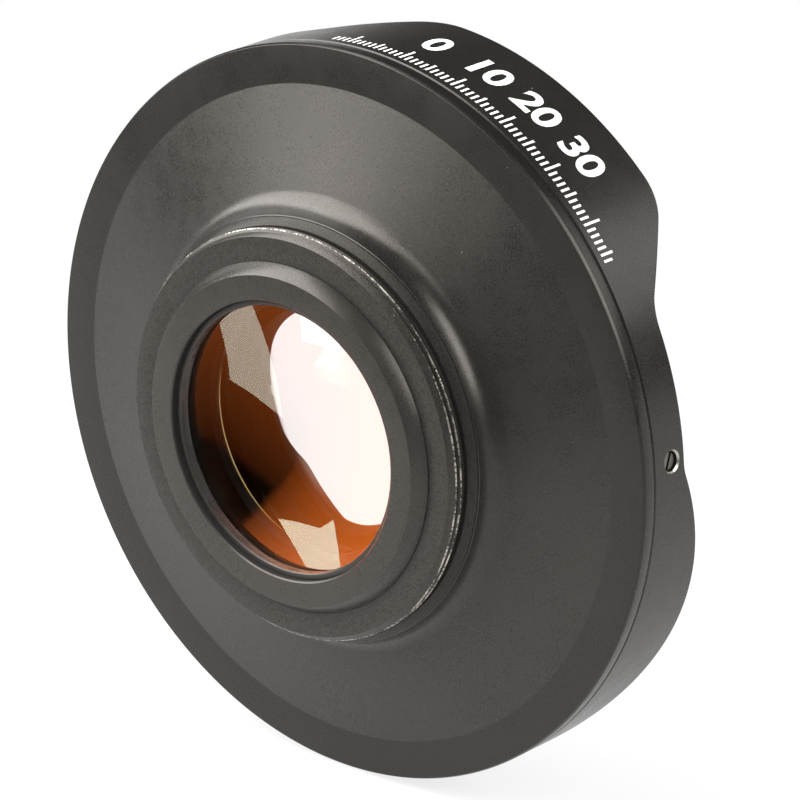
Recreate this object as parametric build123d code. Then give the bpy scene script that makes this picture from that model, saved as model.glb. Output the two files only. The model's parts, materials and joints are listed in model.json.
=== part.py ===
from build123d import *
from math import atan2, degrees, radians, sqrt, tan
import os

# Fisheye converter lens with a petal hood, built around a 43 mm rear filter thread.
# Sizes are in millimetres. Heights run along the optical axis, from the rear end of the full thread
# towards the subject. Radii are measured from that axis. The finished pieces are turned so that the
# axis lies level: the subject is at -Y, the camera at +Y, and +Z is up.

# Fits
THREAD_FIT = 0.04          # radial gap of a threaded or pushed joint within the body
RUNNING_FIT = 0.05         # radial gap between the hood and the spigot it turns on
SEAT_GAP = 0.02            # gap at a seat on a curved or conical face
OVERRUN = 1.0              # how far a cutter runs past what it cuts

# Rear thread and its shoulder
THREAD_RADIUS = 21.5
THREAD_LENGTH = 1.2
LEAD_CHAMFER = 0.6
RELIEF_DEPTH = 0.5
RELIEF_LENGTH = 0.5
SHOULDER_STEP = 0.9        # how far the neck stands out beyond the thread
SHOULDER_RISE = 0.7
MOUNT_STEP = 0.45          # from the relief down to the ring's own spigot
MOUNT_WALL = 2.56
LOCK_RING_WIDTH = 3.0
LOCK_RING_HEIGHT = 1.0

# Rear optical cell
CELL_WALL = 3.31
CELL_FRONT_WALL = 2.71
CELL_FLANGE_HEIGHT = 1.44
CELL_FLANGE_STEP = 0.5     # how far the flange stands out beyond the cell's barrel
CELL_FLANGE_SLOPE = 1.13   # how far the flange narrows towards the rear
RECESS_DEPTH = 0.75
RING_HEIGHT = 1.03
SEAT_WIDTH = 1.0
WEB_THICKNESS = 0.5
CELL_NOSE_STEP = 1.0
CELL_NOSE_LENGTH = 1.8
NOSE_GAP = 0.69            # air between the cell's nose and the hollow of the front glass
RING_LIP = 0.62            # how far the rear retaining ring covers the glass
NOTCH_WIDTH = 1.4
NOTCH_DEPTH = 0.5
SHIM_THICKNESS = 0.54
SHIM_WIDTH = 1.2

# Glass
CROWN_EDGE = 1.19
CEMENT_GAP = 0.02
FLINT_THICKNESS = 1.8
MIDDLE_THICKNESS = 1.2
MIDDLE_RING_WIDTH = 2.4
MIDDLE_RING_HEIGHT = 1.0
FRONT_SEAT_WIDTH = 8.96    # from the barrel's bore out to the front glass's edge
FRONT_LAND_WIDTH = 10.45   # of the flat ring between the front glass's edge and its hollow
FRONT_GLASS_EDGE = 1.63

# How far each face of the glass rises between its edge and its middle
CROWN_REAR_RISE = 1.87
CEMENTED_RISE = 4.1
FLINT_FRONT_RISE = 1.19
MIDDLE_REAR_RISE = 0.97
MIDDLE_FRONT_RISE = 3.37
FRONT_OUTER_RISE = 11.0
FRONT_INNER_RISE = 10.2

# Bell shell
NECK_LIP = 2.19            # from the neck's rear edge to where the bell's cone would meet the neck
FLARE_RADIUS = 2.6
SHELL_WALL = 1.3
RIM_ZONE_WIDTH = 4.1
RIM_BEVEL_WIDTH = 0.16
RIM_BEVEL_HEIGHT = 0.32
RIM_HEIGHT = 1.65
NECK_BEVEL = 0.08
LOCK_SEAT_WIDTH = 3.5
SPIGOT_WALL = 2.2
SPIGOT_HEIGHT = 4.5
GROOVE_DEPTH = 0.5
GROOVE_WIDTH = 2.2

# Front barrel and what it holds
BARREL_WALL = 1.86
BARREL_BORE_GAP = 0.45     # between the barrel's bore and the lock ring
SEAL_INSET = 3.0           # from the front glass's edge in to the seal
SEAL_SECTION = 0.38
SEAL_GROOVE_WIDTH = 1.2
SEAT_HEIGHT = 0.4          # of the front glass's seat above the shell's inner floor
FRONT_RING_LIP = 1.4
FRONT_RING_TOP = 3.8       # of the retaining ring and the barrel above the glass seat
TRIM_HEIGHT = 0.6
TRIM_LIP = 0.4
TRIM_BEVEL = 0.3
BAFFLE_THICKNESS = 0.5
BAFFLE_LIP_HEIGHT = 1.4
BAFFLE_LIP_WIDTH = 0.5
LOCK_SCREW_RADIUS = 0.8
LOCK_SCREW_HEIGHT = 1.0    # above the seam
LOCK_SCREW_SINK = 0.2
LOCK_SCREW_BITE = 0.35

# Petal hood
HOOD_WALL = 1.6
SEAM_GAP = 0.1
HOOD_BEVEL = 0.15
HOOD_VALLEY_HEIGHT = 4.8   # above the hood's rear edge, as are the petal heights
LONG_PETAL_HEIGHT = 12.75
SHORT_PETAL_HEIGHT = 8.75
LONG_PETAL_HALF_WIDTH = 15.3
LONG_PETAL_RAMP = 43.0     # degrees
LONG_PETAL_ROUND = 6.3
LONG_PETAL_FOOT_ROUND = 4.0
SHORT_PETAL_CURVE = 43.5
SHORT_PETAL_FOOT_ROUND = 3.0
HOOD_TURN = 25.0           # degrees that the hood stands turned from upright
SCREW_RADIUS = 1.0
SCREW_HEIGHT = 2.74        # above the hood's rear edge
SCREW_SINK = 0.45
SCREW_TIP_GAP = 0.1
SCREW_BEVEL = 0.15
SCREW_SLOT_WIDTH = 0.35
SCREW_SLOT_DEPTH = 0.5
COUNTERSINK = 0.2
SCREW_COUNT = 3


def curve_radius(rise, radius):
    """The radius of curvature of a face that rises so far within a radius off the axis."""
    return (radius * radius + rise * rise) / (rise * 2)


def sag(curve, radius):
    """How far a face of that curvature falls from its vertex at a radius off the axis."""
    return curve - sqrt(curve * curve - radius * radius)


# Radii that follow from the thread's, from the middle outwards
RELIEF_RADIUS = THREAD_RADIUS - RELIEF_DEPTH
NECK_RADIUS = THREAD_RADIUS + SHOULDER_STEP
MOUNT_SPIGOT_RADIUS = RELIEF_RADIUS - MOUNT_STEP
MOUNT_BORE_RADIUS = MOUNT_SPIGOT_RADIUS - MOUNT_WALL
CELL_RADIUS = MOUNT_BORE_RADIUS - THREAD_FIT
CELL_BORE_RADIUS = CELL_RADIUS - CELL_WALL
CELL_FRONT_BORE_RADIUS = CELL_RADIUS - CELL_FRONT_WALL
CELL_FLANGE_RADIUS = CELL_RADIUS + CELL_FLANGE_STEP
NOSE_RADIUS = CELL_RADIUS - CELL_NOSE_STEP
REAR_GLASS_RADIUS = CELL_BORE_RADIUS - THREAD_FIT
RING_CLEAR_RADIUS = REAR_GLASS_RADIUS - RING_LIP
WEB_RADIUS = REAR_GLASS_RADIUS - SEAT_WIDTH
MIDDLE_GLASS_RADIUS = CELL_FRONT_BORE_RADIUS - THREAD_FIT
MIDDLE_CLEAR_RADIUS = MIDDLE_GLASS_RADIUS - MIDDLE_RING_WIDTH
NECK_BORE_RADIUS = MOUNT_SPIGOT_RADIUS + THREAD_FIT
LOCK_RING_RADIUS = NECK_BORE_RADIUS + LOCK_RING_WIDTH
LOCK_SEAT_RADIUS = NECK_BORE_RADIUS + LOCK_SEAT_WIDTH
BARREL_BORE_RADIUS = LOCK_RING_RADIUS + BARREL_BORE_GAP
FRONT_GLASS_RADIUS = BARREL_BORE_RADIUS + FRONT_SEAT_WIDTH
FRONT_CLEAR_RADIUS = FRONT_GLASS_RADIUS - FRONT_LAND_WIDTH
FRONT_RING_RADIUS = FRONT_GLASS_RADIUS - FRONT_RING_LIP
SEAL_RADIUS = FRONT_GLASS_RADIUS - SEAL_INSET
BARREL_RADIUS = FRONT_GLASS_RADIUS + THREAD_FIT + BARREL_WALL
SPIGOT_BORE_RADIUS = BARREL_RADIUS + THREAD_FIT
SPIGOT_RADIUS = SPIGOT_BORE_RADIUS + SPIGOT_WALL
GROOVE_RADIUS = SPIGOT_RADIUS - GROOVE_DEPTH
HOOD_BORE_RADIUS = SPIGOT_RADIUS + RUNNING_FIT
HOOD_RADIUS = HOOD_BORE_RADIUS + HOOD_WALL
RIM_ZONE_RADIUS = HOOD_RADIUS - RIM_ZONE_WIDTH

# Radii of curvature
CROWN_REAR_CURVE = curve_radius(CROWN_REAR_RISE, REAR_GLASS_RADIUS)
CEMENTED_CURVE = curve_radius(CEMENTED_RISE, REAR_GLASS_RADIUS)
FLINT_FRONT_CURVE = curve_radius(FLINT_FRONT_RISE, REAR_GLASS_RADIUS)
MIDDLE_REAR_CURVE = curve_radius(MIDDLE_REAR_RISE, MIDDLE_GLASS_RADIUS)
MIDDLE_FRONT_CURVE = curve_radius(MIDDLE_FRONT_RISE, MIDDLE_CLEAR_RADIUS)
FRONT_OUTER_CURVE = curve_radius(FRONT_OUTER_RISE, FRONT_GLASS_RADIUS)
FRONT_INNER_CURVE = curve_radius(FRONT_INNER_RISE, FRONT_CLEAR_RADIUS)

# Heights of the mount and of the rear cell with its glass, from the rear forwards
SHOULDER_HEIGHT = THREAD_LENGTH + RELIEF_LENGTH
NECK_HEIGHT = SHOULDER_HEIGHT + SHOULDER_RISE
CELL_REAR = -LEAD_CHAMFER - CELL_FLANGE_HEIGHT
RING_REAR = CELL_REAR + RECESS_DEPTH
RING_FRONT = RING_REAR + RING_HEIGHT
CROWN_REAR_VERTEX = RING_FRONT + SEAT_GAP - sag(CROWN_REAR_CURVE, RING_CLEAR_RADIUS)
CROWN_REAR_EDGE = CROWN_REAR_VERTEX + CROWN_REAR_RISE
CEMENTED_VERTEX = CROWN_REAR_EDGE + CROWN_EDGE + CEMENTED_RISE
FLINT_REAR_VERTEX = CEMENTED_VERTEX + CEMENT_GAP
FLINT_FRONT_VERTEX = FLINT_REAR_VERTEX + FLINT_THICKNESS
WEB_HEIGHT = FLINT_FRONT_VERTEX - sag(FLINT_FRONT_CURVE, WEB_RADIUS) + SEAT_GAP
SHIM_HEIGHT = WEB_HEIGHT + WEB_THICKNESS
MIDDLE_REAR_EDGE = SHIM_HEIGHT + SHIM_THICKNESS + SEAT_GAP
MIDDLE_REAR_VERTEX = MIDDLE_REAR_EDGE + MIDDLE_REAR_RISE
MIDDLE_FRONT_VERTEX = MIDDLE_REAR_VERTEX + MIDDLE_THICKNESS
MIDDLE_FRONT_EDGE = MIDDLE_FRONT_VERTEX + MIDDLE_FRONT_RISE
CELL_FRONT = MIDDLE_FRONT_EDGE + MIDDLE_RING_HEIGHT

# Heights of the front glass, which clears the cell's nose, and of what carries it
FRONT_INNER_VERTEX = CELL_FRONT + NOSE_GAP + sag(FRONT_INNER_CURVE, NOSE_RADIUS)
GLASS_SEAT = FRONT_INNER_VERTEX - FRONT_INNER_RISE
FRONT_OUTER_EDGE = GLASS_SEAT + FRONT_GLASS_EDGE
FRONT_OUTER_VERTEX = FRONT_OUTER_EDGE + FRONT_OUTER_RISE
FRONT_RING_SEAT = FRONT_OUTER_VERTEX - sag(FRONT_OUTER_CURVE, FRONT_RING_RADIUS) + SEAT_GAP
BARREL_FRONT = GLASS_SEAT + FRONT_RING_TOP
FLOOR_HEIGHT = GLASS_SEAT - SEAT_HEIGHT

# Heights of the bell, whose cone joins the neck to the rim zone
PLATE_HEIGHT = FLOOR_HEIGHT - SHELL_WALL
CONE_FOOT = NECK_HEIGHT + NECK_LIP
BELL_RISE = (PLATE_HEIGHT - CONE_FOOT) / (RIM_ZONE_RADIUS - NECK_RADIUS)
LOCK_SEAT_HEIGHT = FLOOR_HEIGHT - (RIM_ZONE_RADIUS - LOCK_SEAT_RADIUS) * BELL_RISE
MOUNT_FRONT = LOCK_SEAT_HEIGHT + LOCK_RING_HEIGHT
RIM_FRONT = PLATE_HEIGHT + RIM_HEIGHT
SPIGOT_FRONT = RIM_FRONT + SPIGOT_HEIGHT

# Heights and angles of the hood
HOOD_REAR = RIM_FRONT + SEAM_GAP
VALLEY_HEIGHT = HOOD_REAR + HOOD_VALLEY_HEIGHT
LONG_TIP = HOOD_REAR + LONG_PETAL_HEIGHT
SHORT_TIP = HOOD_REAR + SHORT_PETAL_HEIGHT
SCREW_LINE = HOOD_REAR + SCREW_HEIGHT
FULL_TURN = 360.0
QUARTER_TURN = FULL_TURN / 4
LONG_PETAL_ANGLE = QUARTER_TURN + HOOD_TURN
SCREW_STEP = FULL_TURN / SCREW_COUNT
SCREW_ANGLES = [LONG_PETAL_ANGLE + SCREW_STEP * (step + 0.5) for step in range(SCREW_COUNT)]


def turned(*edges):
    """A solid of revolution from the edges of its half section, drawn as (radius, height)."""
    return revolve(Plane.XZ * make_face(edges), Axis.Z)


def ring(points):
    """A turned ring whose half section is the closed outline through the points."""
    return turned(*Polyline(*points, close=True).edges())


def tube(inner, outer, low, high):
    return ring([(inner, low), (outer, low), (outer, high), (inner, high)])


def surface(vertex, curve, side, radius):
    """A spherical face's arc from the axis out to radius. Side is 1 where its edge lies forward."""
    half = radius / 2
    return ThreePointArc(
        (0, vertex),
        (half, vertex + side * sag(curve, half)),
        (radius, vertex + side * sag(curve, radius)),
    )


def element(rear, front, radius, corners=()):
    """A glass element between two arcs, with its rim at radius and any corners on the way."""
    outline = [rear @ 1, *corners, front @ 1]
    rim = Polyline(*outline).edges()
    axis_line = Line(front @ 0, rear @ 0)
    return turned(rear, *rim, front, axis_line)


def radial(shape, angle, height):
    """A shape drawn along +X, carried round the axis to an angle and up to a height."""
    return Rot(Z=angle) * Pos(Z=height) * shape


def radial_pin(radius, inner, outer):
    """A round bar along +X from one distance off the axis to another."""
    return Pos(X=inner) * Rot(Y=QUARTER_TURN) * extrude(Circle(radius), outer - inner)


def notches(inner, outer, top, count=2):
    """Cutters for the spanner notches in the front face of a threaded ring."""
    cutter = Pos(X=(inner + outer) / 2, Z=top) * Box(
        outer - inner + OVERRUN, NOTCH_WIDTH, NOTCH_DEPTH * 2
    )
    return [Rot(Z=FULL_TURN * turn / count) * cutter for turn in range(count)]


def mount_ring():
    """The threaded ring that screws into the camera's filter thread."""
    return ring([
        (MOUNT_BORE_RADIUS, -LEAD_CHAMFER),
        (THREAD_RADIUS - LEAD_CHAMFER, -LEAD_CHAMFER),
        (THREAD_RADIUS, 0),
        (THREAD_RADIUS, THREAD_LENGTH),
        (RELIEF_RADIUS, THREAD_LENGTH),
        (RELIEF_RADIUS, SHOULDER_HEIGHT),
        (THREAD_RADIUS, SHOULDER_HEIGHT),
        (NECK_RADIUS, NECK_HEIGHT),
        (MOUNT_SPIGOT_RADIUS, NECK_HEIGHT),
        (MOUNT_SPIGOT_RADIUS, MOUNT_FRONT),
        (MOUNT_BORE_RADIUS, MOUNT_FRONT),
    ])


def mount_lock_ring():
    body = tube(NECK_BORE_RADIUS, LOCK_RING_RADIUS, LOCK_SEAT_HEIGHT, MOUNT_FRONT)
    return body - notches(NECK_BORE_RADIUS, LOCK_RING_RADIUS, MOUNT_FRONT)


def rear_shell():
    """The bell: neck, soft flare, shallow cone, flat rim zone, and the spigot that takes the hood."""
    half_bend = tan(radians(QUARTER_TURN - degrees(atan2(BELL_RISE, 1))) / 2)
    room = (NECK_LIP - NECK_BEVEL * 2) / half_bend
    outer = Polyline(
        (NECK_RADIUS, NECK_HEIGHT + NECK_BEVEL),
        (NECK_RADIUS, CONE_FOOT),
        (RIM_ZONE_RADIUS, PLATE_HEIGHT),
    )
    foot = outer.vertices().group_by(Axis.X)[0].sort_by(Axis.Y)[-1]
    flare = fillet(foot, min(FLARE_RADIUS, room))
    groove_low = SCREW_LINE - GROOVE_WIDTH / 2
    groove_high = SCREW_LINE + GROOVE_WIDTH / 2
    rest = Polyline(
        (RIM_ZONE_RADIUS, PLATE_HEIGHT),
        (HOOD_RADIUS - RIM_BEVEL_WIDTH, PLATE_HEIGHT),
        (HOOD_RADIUS, PLATE_HEIGHT + RIM_BEVEL_HEIGHT),
        (HOOD_RADIUS, RIM_FRONT),
        (SPIGOT_RADIUS, RIM_FRONT),
        (SPIGOT_RADIUS, groove_low),
        (GROOVE_RADIUS, groove_low),
        (GROOVE_RADIUS, groove_high),
        (SPIGOT_RADIUS, groove_high),
        (SPIGOT_RADIUS, SPIGOT_FRONT),
        (SPIGOT_BORE_RADIUS, SPIGOT_FRONT),
        (SPIGOT_BORE_RADIUS, FLOOR_HEIGHT),
        (RIM_ZONE_RADIUS, FLOOR_HEIGHT),
        (LOCK_SEAT_RADIUS, LOCK_SEAT_HEIGHT),
        (NECK_BORE_RADIUS, LOCK_SEAT_HEIGHT),
        (NECK_BORE_RADIUS, NECK_HEIGHT),
        (NECK_RADIUS - NECK_BEVEL, NECK_HEIGHT),
        (NECK_RADIUS, NECK_HEIGHT + NECK_BEVEL),
    )
    shell = turned(*flare.edges(), *rest.edges())
    return shell - lock_screw_shapes(LOCK_SCREW_RADIUS + THREAD_FIT, BARREL_RADIUS, HOOD_RADIUS)


def lock_screw_shapes(radius, inner, outer):
    pin = radial_pin(radius, inner, outer)
    height = RIM_FRONT + LOCK_SCREW_HEIGHT
    return [radial(pin, angle + SCREW_STEP / 2, height) for angle in SCREW_ANGLES]


def barrel_lock_screws():
    return Compound(children=lock_screw_shapes(
        LOCK_SCREW_RADIUS, BARREL_RADIUS - LOCK_SCREW_BITE, SPIGOT_RADIUS - LOCK_SCREW_SINK
    ))


def rear_cell():
    """The cell whose conical flange shows as the boss round the rear glass."""
    web_front = WEB_HEIGHT + WEB_THICKNESS
    nose_low = CELL_FRONT - CELL_NOSE_LENGTH
    return ring([
        (CELL_BORE_RADIUS, CELL_REAR),
        (CELL_FLANGE_RADIUS - CELL_FLANGE_SLOPE, CELL_REAR),
        (CELL_FLANGE_RADIUS, -LEAD_CHAMFER),
        (CELL_RADIUS, -LEAD_CHAMFER),
        (CELL_RADIUS, nose_low),
        (NOSE_RADIUS, nose_low),
        (NOSE_RADIUS, CELL_FRONT),
        (CELL_FRONT_BORE_RADIUS, CELL_FRONT),
        (CELL_FRONT_BORE_RADIUS, web_front),
        (WEB_RADIUS, web_front),
        (WEB_RADIUS, WEB_HEIGHT),
        (CELL_BORE_RADIUS, WEB_HEIGHT),
    ])


def rear_retaining_ring():
    return tube(RING_CLEAR_RADIUS, REAR_GLASS_RADIUS, RING_REAR, RING_FRONT)


def rear_crown_element():
    return element(
        surface(CROWN_REAR_VERTEX, CROWN_REAR_CURVE, 1, REAR_GLASS_RADIUS),
        surface(CEMENTED_VERTEX, CEMENTED_CURVE, -1, REAR_GLASS_RADIUS),
        REAR_GLASS_RADIUS,
    )


def rear_flint_element():
    return element(
        surface(FLINT_REAR_VERTEX, CEMENTED_CURVE, -1, REAR_GLASS_RADIUS),
        surface(FLINT_FRONT_VERTEX, FLINT_FRONT_CURVE, -1, REAR_GLASS_RADIUS),
        REAR_GLASS_RADIUS,
    )


def element_shim():
    inner = MIDDLE_GLASS_RADIUS - SHIM_WIDTH
    return tube(inner, MIDDLE_GLASS_RADIUS, SHIM_HEIGHT, SHIM_HEIGHT + SHIM_THICKNESS)


def middle_element():
    return element(
        surface(MIDDLE_REAR_VERTEX, MIDDLE_REAR_CURVE, -1, MIDDLE_GLASS_RADIUS),
        surface(MIDDLE_FRONT_VERTEX, MIDDLE_FRONT_CURVE, 1, MIDDLE_CLEAR_RADIUS),
        MIDDLE_GLASS_RADIUS,
        corners=[(MIDDLE_GLASS_RADIUS, MIDDLE_FRONT_EDGE)],
    )


def middle_retaining_ring():
    body = tube(MIDDLE_CLEAR_RADIUS, MIDDLE_GLASS_RADIUS, MIDDLE_FRONT_EDGE, CELL_FRONT)
    return body - notches(MIDDLE_CLEAR_RADIUS, MIDDLE_GLASS_RADIUS, CELL_FRONT)


def light_baffle():
    """A stepped black washer that closes the gap between the cell and the front barrel."""
    lip = MOUNT_BORE_RADIUS + BAFFLE_LIP_WIDTH
    top = MOUNT_FRONT + BAFFLE_THICKNESS
    return ring([
        (MOUNT_BORE_RADIUS, MOUNT_FRONT),
        (BARREL_BORE_RADIUS - THREAD_FIT, MOUNT_FRONT),
        (BARREL_BORE_RADIUS - THREAD_FIT, top),
        (lip, top),
        (lip, MOUNT_FRONT + BAFFLE_LIP_HEIGHT),
        (MOUNT_BORE_RADIUS, MOUNT_FRONT + BAFFLE_LIP_HEIGHT),
    ])


def front_barrel():
    """The carrier of the front glass, whose rear face follows the bell's inner cone."""
    groove_in = SEAL_RADIUS - SEAL_GROOVE_WIDTH / 2
    groove_out = SEAL_RADIUS + SEAL_GROOVE_WIDTH / 2
    groove_floor = GLASS_SEAT - SEAL_SECTION * 2 - SEAT_GAP * 2
    floor = FLOOR_HEIGHT + SEAT_GAP
    wall = FRONT_GLASS_RADIUS + THREAD_FIT
    barrel = ring([
        (BARREL_BORE_RADIUS, floor - (RIM_ZONE_RADIUS - BARREL_BORE_RADIUS) * BELL_RISE),
        (RIM_ZONE_RADIUS, floor),
        (BARREL_RADIUS, floor),
        (BARREL_RADIUS, BARREL_FRONT),
        (wall, BARREL_FRONT),
        (wall, GLASS_SEAT),
        (groove_out, GLASS_SEAT),
        (groove_out, groove_floor),
        (groove_in, groove_floor),
        (groove_in, GLASS_SEAT),
        (BARREL_BORE_RADIUS, GLASS_SEAT),
    ])
    dimple_floor = BARREL_RADIUS - LOCK_SCREW_BITE - SEAT_GAP
    return barrel - lock_screw_shapes(LOCK_SCREW_RADIUS + THREAD_FIT, dimple_floor, HOOD_RADIUS)


def front_seal():
    centre = GLASS_SEAT - SEAL_SECTION - SEAT_GAP
    return turned(*(Pos(SEAL_RADIUS, centre) * Circle(SEAL_SECTION)).edges())


def front_element():
    return element(
        surface(FRONT_INNER_VERTEX, FRONT_INNER_CURVE, -1, FRONT_CLEAR_RADIUS),
        surface(FRONT_OUTER_VERTEX, FRONT_OUTER_CURVE, -1, FRONT_GLASS_RADIUS),
        FRONT_GLASS_RADIUS,
        corners=[(FRONT_GLASS_RADIUS, GLASS_SEAT)],
    )


def front_retaining_ring():
    body = tube(FRONT_RING_RADIUS, FRONT_GLASS_RADIUS, FRONT_RING_SEAT, BARREL_FRONT)
    return body - notches(FRONT_RING_RADIUS, FRONT_GLASS_RADIUS, BARREL_FRONT)


def front_trim_ring():
    """The plain bevelled ring that covers the barrel's front edge."""
    inner = FRONT_RING_RADIUS - TRIM_LIP
    top = BARREL_FRONT + TRIM_HEIGHT
    return ring([
        (inner, BARREL_FRONT),
        (BARREL_RADIUS, BARREL_FRONT),
        (BARREL_RADIUS, top),
        (inner + TRIM_BEVEL, top),
        (inner, top - TRIM_BEVEL),
    ])


def petal_feet(outline):
    """The two corners where a petal rises from the valleys beside it."""
    valley = outline.vertices().group_by(Axis.Y)[1]
    return valley.sort_by(lambda corner: abs(corner.X))[:2]


def long_petal_outline():
    """The long petal seen along its radius: a flat tip, rounded shoulders and straight ramps."""
    run = (LONG_TIP - VALLEY_HEIGHT) / tan(radians(LONG_PETAL_RAMP))
    foot = LONG_PETAL_HALF_WIDTH + run
    apron = foot + LONG_PETAL_FOOT_ROUND
    outline = make_face(Polyline(
        (-apron, HOOD_REAR),
        (-apron, VALLEY_HEIGHT),
        (-foot, VALLEY_HEIGHT),
        (-LONG_PETAL_HALF_WIDTH, LONG_TIP),
        (LONG_PETAL_HALF_WIDTH, LONG_TIP),
        (foot, VALLEY_HEIGHT),
        (apron, VALLEY_HEIGHT),
        (apron, HOOD_REAR),
        close=True,
    ))
    outline = fillet(outline.vertices().group_by(Axis.Y)[-1], LONG_PETAL_ROUND)
    return fillet(petal_feet(outline), LONG_PETAL_FOOT_ROUND)


def short_petal_outline():
    """The short petal seen along its radius: one wide arc that runs out into the valleys."""
    rise = SHORT_TIP - VALLEY_HEIGHT
    foot = sqrt(rise * (SHORT_PETAL_CURVE * 2 - rise))
    apron = foot + SHORT_PETAL_FOOT_ROUND
    base = Polyline(
        (foot, VALLEY_HEIGHT),
        (apron, VALLEY_HEIGHT),
        (apron, HOOD_REAR),
        (-apron, HOOD_REAR),
        (-apron, VALLEY_HEIGHT),
        (-foot, VALLEY_HEIGHT),
    )
    crown = ThreePointArc((-foot, VALLEY_HEIGHT), (0, SHORT_TIP), (foot, VALLEY_HEIGHT))
    outline = make_face([*base.edges(), crown])
    return fillet(petal_feet(outline), SHORT_PETAL_FOOT_ROUND)


def petal(outline, angle):
    """The part of the hood's wall inside an outline that is carried straight out along a radius."""
    wall = tube(HOOD_BORE_RADIUS, HOOD_RADIUS, HOOD_REAR, LONG_TIP + OVERRUN)
    cutter = extrude(Plane.YZ * outline, HOOD_RADIUS + OVERRUN)
    return wall & (Rot(Z=angle) * cutter)


def petal_hood():
    """A ring with two long and two short petals, held by three radial grub screws."""
    hood = tube(HOOD_BORE_RADIUS, HOOD_RADIUS, HOOD_REAR, VALLEY_HEIGHT)
    long_outline = long_petal_outline()
    short_outline = short_petal_outline()
    for half in range(2):
        angle = LONG_PETAL_ANGLE + FULL_TURN / 2 * half
        hood += petal(long_outline, angle)
        hood += petal(short_outline, angle + QUARTER_TURN)
    rear_edge = hood.edges().filter_by(GeomType.CIRCLE).group_by(Axis.Z)[0].sort_by(SortBy.RADIUS)[-1]
    hood = chamfer(rear_edge, HOOD_BEVEL)
    bore = radial_pin(SCREW_RADIUS + THREAD_FIT, GROOVE_RADIUS, HOOD_RADIUS + OVERRUN)
    mouth_width = SCREW_RADIUS + THREAD_FIT + COUNTERSINK
    mouth = Pos(X=HOOD_RADIUS - COUNTERSINK) * Rot(Y=QUARTER_TURN) * Pos(Z=COUNTERSINK) * Cone(
        mouth_width - COUNTERSINK, mouth_width + COUNTERSINK, COUNTERSINK * 2
    )
    for angle in SCREW_ANGLES:
        hood -= radial(bore, angle, SCREW_LINE)
        hood -= radial(mouth, angle, SCREW_LINE)
    return hood


def hood_screw(angle):
    """A slotted grub screw whose tip stands in the spigot's groove."""
    tip = GROOVE_RADIUS + SCREW_TIP_GAP
    head = HOOD_RADIUS - SCREW_SINK
    pin = radial_pin(SCREW_RADIUS, tip, head)
    ends = pin.edges().filter_by(GeomType.CIRCLE)
    pin = chamfer(ends, SCREW_BEVEL)
    slot = Pos(X=head) * Box(SCREW_SLOT_DEPTH * 2, SCREW_RADIUS * 2 + OVERRUN, SCREW_SLOT_WIDTH)
    return radial(pin - slot, angle, SCREW_LINE)


def pieces():
    """Every sub-part by its node's name, drawn with the optical axis upright."""
    shapes = {
        "rear_shell": rear_shell(),
        "mount_ring": mount_ring(),
        "mount_lock_ring": mount_lock_ring(),
        "rear_cell": rear_cell(),
        "rear_retaining_ring": rear_retaining_ring(),
        "rear_crown_element": rear_crown_element(),
        "rear_flint_element": rear_flint_element(),
        "element_shim": element_shim(),
        "middle_element": middle_element(),
        "middle_retaining_ring": middle_retaining_ring(),
        "light_baffle": light_baffle(),
        "front_barrel": front_barrel(),
        "front_seal": front_seal(),
        "front_element": front_element(),
        "front_retaining_ring": front_retaining_ring(),
        "front_trim_ring": front_trim_ring(),
        "barrel_lock_screws": barrel_lock_screws(),
        "petal_hood": petal_hood(),
    }
    for number, angle in enumerate(SCREW_ANGLES, start=1):
        shapes[f"hood_screw_{number}"] = hood_screw(angle)
    return shapes


def main():
    os.makedirs("parts", exist_ok=True)
    for name, shape in pieces().items():
        export_step(Rot(X=QUARTER_TURN) * shape, f"parts/{name}.step")


if __name__ == "__main__":
    main()
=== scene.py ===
import json
from math import atan2, cos, pi, radians, sin, sqrt, tan, tau

import bmesh
import bpy
import numpy as np
from mathutils import Matrix, Vector


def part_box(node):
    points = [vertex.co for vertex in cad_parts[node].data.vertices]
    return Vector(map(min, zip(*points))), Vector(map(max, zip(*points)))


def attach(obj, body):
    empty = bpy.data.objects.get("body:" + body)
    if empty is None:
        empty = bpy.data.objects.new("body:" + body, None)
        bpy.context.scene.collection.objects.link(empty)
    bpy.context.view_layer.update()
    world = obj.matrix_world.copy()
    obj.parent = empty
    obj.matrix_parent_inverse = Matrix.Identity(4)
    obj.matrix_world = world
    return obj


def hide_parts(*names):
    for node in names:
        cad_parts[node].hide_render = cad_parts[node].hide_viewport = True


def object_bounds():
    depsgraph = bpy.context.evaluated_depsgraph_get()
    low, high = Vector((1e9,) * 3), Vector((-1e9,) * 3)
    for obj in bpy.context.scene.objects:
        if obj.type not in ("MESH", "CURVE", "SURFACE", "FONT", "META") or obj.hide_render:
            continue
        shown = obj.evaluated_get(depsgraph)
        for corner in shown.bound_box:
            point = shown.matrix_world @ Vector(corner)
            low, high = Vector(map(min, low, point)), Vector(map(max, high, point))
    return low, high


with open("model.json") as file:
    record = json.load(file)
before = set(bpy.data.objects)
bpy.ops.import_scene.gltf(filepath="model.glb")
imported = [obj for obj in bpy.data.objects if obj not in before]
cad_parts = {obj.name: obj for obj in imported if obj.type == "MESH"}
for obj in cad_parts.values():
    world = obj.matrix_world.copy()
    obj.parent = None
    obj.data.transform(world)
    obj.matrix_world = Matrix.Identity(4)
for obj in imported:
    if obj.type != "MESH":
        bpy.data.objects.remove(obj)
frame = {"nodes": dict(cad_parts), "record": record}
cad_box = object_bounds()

# A fisheye converter lens seen from its rear. Blender's unit is the metre. Sizes below are in
# millimetres, and heights run forwards along the optical axis from the rear end of the full thread,
# as in the solids: a height h lies at Y = -h. Angles run round the axis from +X towards +Z.
MM = 0.001


def span(node):
    """A node's rear height, front height and largest radius, in millimetres."""
    low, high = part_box(node)
    return -high.y / MM, -low.y / MM, high.x / MM


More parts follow.
